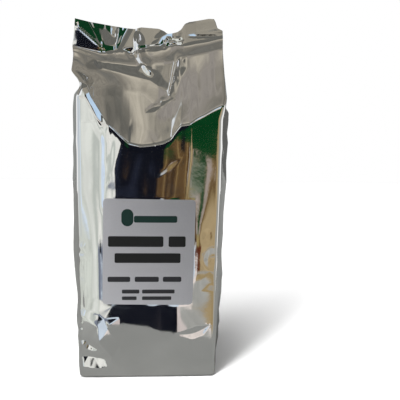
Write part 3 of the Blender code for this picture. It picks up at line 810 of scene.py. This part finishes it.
# What the foil mirrors: soft panels round the bag. Middle azimuth (0 in front, + to the right) and
# elevation, half sizes and softness in degrees, slant (degrees of azimuth for each degree of
# elevation), and colour. A later panel covers an earlier one.
roomPanels = [
    ("pale left side", -60, -10, 54, 36, 4, 0, (0.66, 0.69, 0.64)),
    ("lighter left band", -20, -8, 3.2, 24, 2, 0, (0.78, 0.80, 0.76)),
    ("greyer left band", -14, -5, 1.6, 8, 1.2, 0, (0.50, 0.53, 0.50)),
    ("white card", -9, -8, 3, 24, 1.2, 0, (0.84, 0.84, 0.80)),
    ("blue side", -80, 4, 38, 16, 6, 0, (0.58, 0.64, 0.72)),
    ("pale blue card", -30, -5, 3.2, 7.5, 1.2, 0, (0.68, 0.79, 0.95)),
    ("white strip left", -89, 0, 16, 50, 4, 0, (0.95, 0.95, 0.95)),
    ("grey left edge", -141, 0, 32, 60, 5, 0, (0.27, 0.28, 0.27)),
    ("blue grey groove", -9, -18.6, 4.4, 5.2, 1, 0, (0.20, 0.225, 0.29)),
    ("wood right side", 17, -8, 16, 19, 1.5, 0, (0.22, 0.15, 0.065)),
    ("brown right side", 7.5, -9, 3.8, 4.5, 1.2, 0, brown),
    ("light brown streak", 6.3, -10, 0.5, 3.5, 0.5, 0.3, (0.30, 0.20, 0.085)),
    ("dark brown streak", 9.3, -10, 0.7, 3.5, 0.6, 0.3, (0.04, 0.022, 0.012)),
    ("dark wood line", 20.3, -11, 0.5, 3.5, 0.4, 0.2, (0.10, 0.055, 0.02)),
    ("tan strip", 31, -13, 9, 13, 2, 0, (0.42, 0.32, 0.18)),
    ("grey right side", 60, -10, 20, 40, 4, 0, (0.36, 0.35, 0.32)),
    ("white strip right", 86, 0, 17, 50, 4, 0, (1, 1, 1)),
    ("dark right edge", 140, 0, 34, 60, 5, 0, (0.12, 0.12, 0.115)),
    ("back window", 179, 10, 8, 50, 4, 0, (0.8, 0.8, 0.8)),
    ("back window", -179, 10, 8, 50, 4, 0, (0.8, 0.8, 0.8)),
    ("low right", 34, -29, 30, 6, 3, 0, (0.40, 0.40, 0.38)),
    ("red brown", 15.5, -16.3, 7, 1.9, 0.9, 0.8, (0.10, 0.024, 0.011)),
    ("olive column", 15.5, -12.9, 2.2, 1.8, 0.8, 0, (0.34, 0.26, 0.11)),
    ("grey green", 14.7, -10.4, 2.1, 0.9, 0.6, 0, (0.17, 0.20, 0.15)),
    ("pale low strip", 7, -28, 3, 9, 0.8, 0, (0.62, 0.55, 0.53)),
    ("grey rings", 22, -19.4, 14, 0.9, 0.8, 0, (0.36, 0.34, 0.30)),
    ("tan drop", 24, -22.4, 10, 1.7, 0.8, 0, (0.36, 0.27, 0.14)),
    ("green cloth", 13.7, -1, 11.3, 6.7, 0.5, 0, green),
    ("green cloth left", 16.3, -8.45, 1.05, 1.65, 0.3, 0, green),
    ("green cloth right", 18.2, -7.9, 4, 1.1, 0.4, 2.2, green),
    ("pink edge", 12.6, -9.8, 1.9, 0.9, 0.5, 0, (0.42, 0.36, 0.33)),
    ("mauve edge", 18.4, -10.2, 1, 1, 0.5, 0, (0.38, 0.32, 0.29)),
    ("pale blob", 9.2, -14.6, 2.3, 1.2, 0.5, 0, (0.50, 0.48, 0.44)),
    ("blue card", 1.3, -19.6, 7, 5.2, 0.6, 0, (0.62, 0.70, 0.80)),
    ("pink card", 12, -21.3, 3.8, 3.9, 0.6, 0, (0.80, 0.72, 0.68)),
    ("pale window", 10, 8, 16, 2, 0.8, 0, (0.80, 0.74, 0.70)),
    ("wall above", 0, 60, 400, 41, 2, 0, (0.33, 0.305, 0.255)),
    ("dark skirting above", -4, 15, 8, 4, 1.5, 0, (0.03, 0.028, 0.024)),
    ("pale skirting", -18, 7, 20, 3, 2, 0, (0.75, 0.74, 0.70)),
    ("sky window", 11, 17, 5, 5, 0.8, 0, (0.56, 0.74, 0.95)),
    ("sky window right", 107, 27, 14, 5, 2, 0, (0.50, 0.72, 1)),
    ("green cloth above", 40, 14, 22, 9, 1, 0, (0.004, 0.04, 0.014)),
    ("white window left", -51, 22, 26, 8, 2, 0, (0.9, 0.92, 0.95)),
    ("dark middle", -1.4, -5.9, 5.2, 10.2, 0.7, 0, dark),
    ("dark middle low", 0.3, -31, 5, 6.6, 0.7, -0.11, dark),
    ("dark middle top", -1.9, -1.5, 4.4, 5.5, 0.6, 0, dark),
    ("dark corner", 0, 1, 6.3, 4.4, 0.6, 0, dark),
    ("dark step", 6.2, -12.7, 2.6, 0.6, 0.4, 0, dark),
    ("brown notch", 3.2, -11.1, 2.4, 0.6, 0.5, 0, brown),
    ("navy sheen", -4, -10.5, 1.6, 2, 1.5, 0, (0.020, 0.024, 0.042)),
]
# The ceiling, the same in shares of its height: middle to the right and to the front, half sizes,
# softness, slant and colour
ceilingPanels = [
    ("ceiling", 0, 0, 3, 0.75, 0.25, 0, (0.255, 0.235, 0.2)),
    ("dark strip", 0, 1.395, 3, 0.525, 0.07, 0, (0.145, 0.143, 0.13)),
    ("dark beam", 0.68, 0.50, 0.26, 0.30, 0.25, 0, (0.14, 0.135, 0.12)),
    ("pale far side", 0.25, -1.2, 0.5, 0.45, 0.15, 0, (0.62, 0.64, 0.60)),
    ("dim far side", -0.15, 0.1, 0.5, 0.15, 0.15, 0, (0.17, 0.165, 0.15)),
    ("warm glow", 0.06, 0.70, 0.24, 0.13, 0.14, 0, (0.52, 0.475, 0.395)),
    ("right side glow", -0.38, 0.52, 0.22, 0.16, 0.1, 0, (0.31, 0.285, 0.26)),
    ("warm glow left", -1.2, 0.05, 0.45, 0.35, 0.3, 0, (0.36, 0.33, 0.275)),
    ("skylight", -0.72, 0.33, 0.09, 0.10, 0.06, 0, (0.40, 0.40, 0.385)),
    ("dark right side", 0.57, 0.82, 0.19, 0.14, 0.03, 0, (0.125, 0.124, 0.116)),
    ("skylight right", 0.95, 0.98, 0.17, 0.10, 0.04, 0, (0.78, 0.80, 0.86)),
    ("skylight left", -1, 0.5, 0.26, 0.16, 0.08, 0, (0.78, 0.82, 0.86)),
]
studio = {
    "behind": (1.0, 1.0, 1.0, 1),  # what the camera sees past the floor
    "sky": (0.36, 0.36, 0.36, 1),  # what lights the floor and the paper
    "base": (0.5, 0.5, 0.48, 1),  # what the foil mirrors between the panels
    "edgeScale": 9.0,  # the panels' upright edges waver a little
    "edgeWaver": 0.7,  # degrees
    "unevenScale": 14.0,  # and no part of the room is evenly bright
    "uneven": 0.7,
    "ceilingFrom": 0.3,  # how steeply a direction has to rise to meet the ceiling
    "leastRise": 0.05,
}


def panelMask(tree, fromMiddle, fromHeight, halfWidth, halfHeight, soft):
    # 1 inside a rectangle and 0 outside it, with a soft edge
    over = mathNode(tree, "SUBTRACT", mathNode(tree, "ABSOLUTE", fromMiddle), halfWidth)
    above = mathNode(tree, "SUBTRACT", mathNode(tree, "ABSOLUTE", fromHeight), halfHeight)
    mask = newNode(tree, "MapRange", {"From Min": soft, "From Max": -soft})
    mask.interpolation_type = "SMOOTHSTEP"
    tree.links.new(mathNode(tree, "MAXIMUM", over, above), mask.inputs["Value"])
    return mask.outputs["Result"]


def directionNoise(tree, direction, scale, size):
    # soft noise around 0
    noise = newNode(tree, "TexNoise", {"Scale": scale})
    tree.links.new(direction.outputs["Generated"], noise.inputs["Vector"])
    level = mathNode(tree, "SUBTRACT", noise.outputs["Fac"], 0.5)
    return mathNode(tree, "MULTIPLY", level, size)


def addPanels(tree, room, panels, across, up, limit=None):
    # lays soft rectangles of colour over the room's colour
    for _, middleAcross, middleUp, halfAcross, halfUp, soft, slant, tone in panels:
        fromUp = mathNode(tree, "SUBTRACT", up, middleUp)
        fromAcross = mathNode(tree, "SUBTRACT", across, middleAcross)
        if slant:
            shift = mathNode(tree, "MULTIPLY", fromUp, slant)
            fromAcross = mathNode(tree, "SUBTRACT", fromAcross, shift)
        mask = panelMask(tree, fromAcross, fromUp, halfAcross, halfUp, soft)
        if limit is not None:
            mask = mathNode(tree, "MULTIPLY", mask, limit)
        room = mixColour(tree, mask, room, (*tone, 1))
    return room


def makeRoom():
    world = bpy.data.worlds.new("soft_studio")
    bpy.context.scene.world = world
    world.use_nodes = True
    tree = world.node_tree
    tree.nodes.clear()
    direction = tree.nodes.new("ShaderNodeTexCoord")
    split = tree.nodes.new("ShaderNodeSeparateXYZ")
    tree.links.new(direction.outputs["Generated"], split.inputs["Vector"])
    forward = mathNode(tree, "MULTIPLY", split.outputs["Y"], -1.0)
    # places on the walls: azimuth and elevation
    degrees = 180 / math.pi
    turn = mathNode(tree, "ARCTAN2", split.outputs["X"], forward)
    azimuth = mathNode(tree, "MULTIPLY", turn, degrees)
    rise = mathNode(tree, "ARCSINE", split.outputs["Z"])
    elevation = mathNode(tree, "MULTIPLY", rise, degrees)
    waver = directionNoise(tree, direction, studio["edgeScale"], studio["edgeWaver"])
    azimuth = mathNode(tree, "ADD", azimuth, waver)
    room = addPanels(tree, studio["base"], roomPanels, azimuth, elevation)
    # places on the ceiling: the direction's slope to the right and to the front
    height = mathNode(tree, "MAXIMUM", split.outputs["Z"], studio["leastRise"])
    right = mathNode(tree, "DIVIDE", split.outputs["X"], height)
    front = mathNode(tree, "DIVIDE", forward, height)
    high = mathNode(tree, "GREATER_THAN", split.outputs["Z"], studio["ceilingFrom"])
    room = addPanels(tree, room, ceilingPanels, right, front, high)
    uneven = directionNoise(tree, direction, studio["unevenScale"], studio["uneven"])
    uneven = mathNode(tree, "ADD", uneven, 1.0)
    brighter = tree.nodes.new("ShaderNodeVectorMath")
    brighter.operation = "SCALE"
    tree.links.new(room, brighter.inputs[0])
    tree.links.new(uneven, brighter.inputs["Scale"])
    # the foil mirrors the panels, the camera sees plain white, and the rest is lit by a soft sky
    light = tree.nodes.new("ShaderNodeLightPath")
    above = mathNode(tree, "GREATER_THAN", split.outputs["Z"], 0.0)
    sky = mixColour(tree, above, (0.0, 0.0, 0.0, 1), studio["sky"])
    seen = mixColour(tree, light.outputs["Is Camera Ray"], sky, studio["behind"])
    seen = mixColour(tree, light.outputs["Is Glossy Ray"], seen, brighter.outputs[0])
    background = tree.nodes.new("ShaderNodeBackground")
    tree.links.new(seen, background.inputs["Color"])
    output = tree.nodes.new("ShaderNodeOutputWorld")
    tree.links.new(background.outputs["Background"], output.inputs["Surface"])
    print("room", len(roomPanels) + len(ceilingPanels), "panels")


floorLook = {  # in metres
    "frontEdge": [(-0.055, -0.124), (-0.040, -0.118), (-0.005, -0.111), (0.021, -0.097)],
    "back": 0.75,
    "halfWidth": 0.75,
    "floor": {"Roughness": 0.9, "Specular IOR Level": 0.0},
    "seen": (0.95, 0.95, 0.95, 1),
    "mirroredShade": ((0.155, 0.158, 0.152, 1), (0.272, 0.275, 0.265, 1)),  # what the foil mirrors of the floor: painted shade, greyer than the floor the camera sees, and a little cloudy
    "cloud": {"Scale": 14.0, "Detail": 3.0},
}


def makeFloor():
    edit = bmesh.new()
    half, edge, back = floorLook["halfWidth"], floorLook["frontEdge"], floorLook["back"]
    corners = [(-half, edge[0][1]), *edge, (half, edge[-1][1]), (half, back), (-half, back)]
    edit.faces.new([edit.verts.new((x, y, 0.0)) for x, y in corners])
    mesh = bpy.data.meshes.new("floor")
    edit.to_mesh(mesh)
    edit.free()
    floor = bpy.data.objects.new("floor", mesh)
    bpy.context.scene.collection.objects.link(floor)
    material, tree, shader = newMaterial("pale_floor", floorLook["floor"])
    light = tree.nodes.new("ShaderNodeLightPath")
    cloud = objectPattern(tree, "TexNoise", floorLook["cloud"])
    mirroredShade = mixColour(tree, cloud.outputs["Fac"], *floorLook["mirroredShade"])
    # glossy rays see the floor in painted shade, the camera sees it plain pale
    colour = mixColour(tree, light.outputs["Is Glossy Ray"], floorLook["seen"], mirroredShade)
    tree.links.new(colour, shader.inputs["Base Color"])
    mesh.materials.append(material)
    return floor


# A tall soft lamp at the front left, as a row of suns one above the other: it lights the floor
lamps = {
    "travel": (0.617, 0.787),  # the way the light goes over the floor
    "heights": [46, 56, 65, 73, 81],  # degrees above the floor
    "energy": 0.58,
    "angle": math.radians(9),
    "side": {  # small lamp beside the label, in metres
        "place": (-0.165, -0.125, 0.12), "aim": (0, -0.035, 0.1), "size": 0.10, "energy": 0.14,
    },
}


def addLamp(name, kind, energy, towards, place=(0, 0, 0)):
    lamp = bpy.data.lights.new(name, kind)
    lamp.energy = energy
    thing = bpy.data.objects.new(name, lamp)
    thing.location = place
    thing.rotation_euler = towards.to_track_quat("-Z", "Y").to_euler()
    thing.visible_glossy = False  # the foil mirrors the room panels, not the lamps
    bpy.context.scene.collection.objects.link(thing)
    return thing


def makeLights(floor):
    onFloor = bpy.data.collections.new("lit_floor")
    onFloor.objects.link(floor)
    overX, overY = lamps["travel"]
    for number, height in enumerate(lamps["heights"]):
        rise = math.radians(height)
        towards = Vector((overX * math.cos(rise), overY * math.cos(rise), -math.sin(rise)))
        sun = addLamp(f"sun_{number}", "SUN", lamps["energy"] / math.sin(rise), towards)
        sun.data.angle = lamps["angle"]
        sun.light_linking.receiver_collection = onFloor
    side = lamps["side"]
    place = Vector(side["place"])
    lamp = addLamp("side_lamp", "AREA", side["energy"], Vector(side["aim"]) - place, place)
    lamp.data.size = side["size"]
    print("lights", len(lamps["heights"]) + 1)


camera = {
    "distance": 500.0,
    "height": 243.044,
    "pitch": 12.5,  # degrees down
    "yaw": 4.611,  # degrees to the right
    "roll": 1.5,
    "lens": 59.4,
    "sensor": 36.0,
    "near": 0.01,  # metres
}


def makeCamera():
    lens = bpy.data.cameras.new("camera")
    lens.lens = camera["lens"]
    lens.sensor_width = camera["sensor"]
    lens.clip_start = camera["near"]
    viewer = bpy.data.objects.new("camera", lens)
    pitch, yaw, roll = (math.radians(camera[turn]) for turn in ("pitch", "yaw", "roll"))
    level = math.cos(pitch)
    forward = Vector((math.sin(yaw) * level, math.cos(yaw) * level, -math.sin(pitch)))
    right = Vector((math.cos(yaw), -math.sin(yaw), 0.0))
    up = right.cross(forward)
    leftRight = right * math.cos(roll) + up * math.sin(roll)
    upDown = up * math.cos(roll) - right * math.sin(roll)
    turned = Matrix((leftRight, upDown, -forward)).transposed().to_4x4()
    place = Vector((0.0, -camera["distance"], camera["height"])) * mm + bagShift
    viewer.matrix_world = Matrix.Translation(place) @ turned
    bpy.context.scene.collection.objects.link(viewer)
    bpy.context.scene.camera = viewer


makeFilm(makeFoilMaterial())
makeLabel(makeLabelMaterial())
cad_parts["seed_fill"].data.materials.clear()
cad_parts["seed_fill"].data.materials.append(makeSeedMaterial())
makeRoom()
makeLights(makeFloor())
makeCamera()
bpy.context.scene.view_settings.view_transform = "Standard"
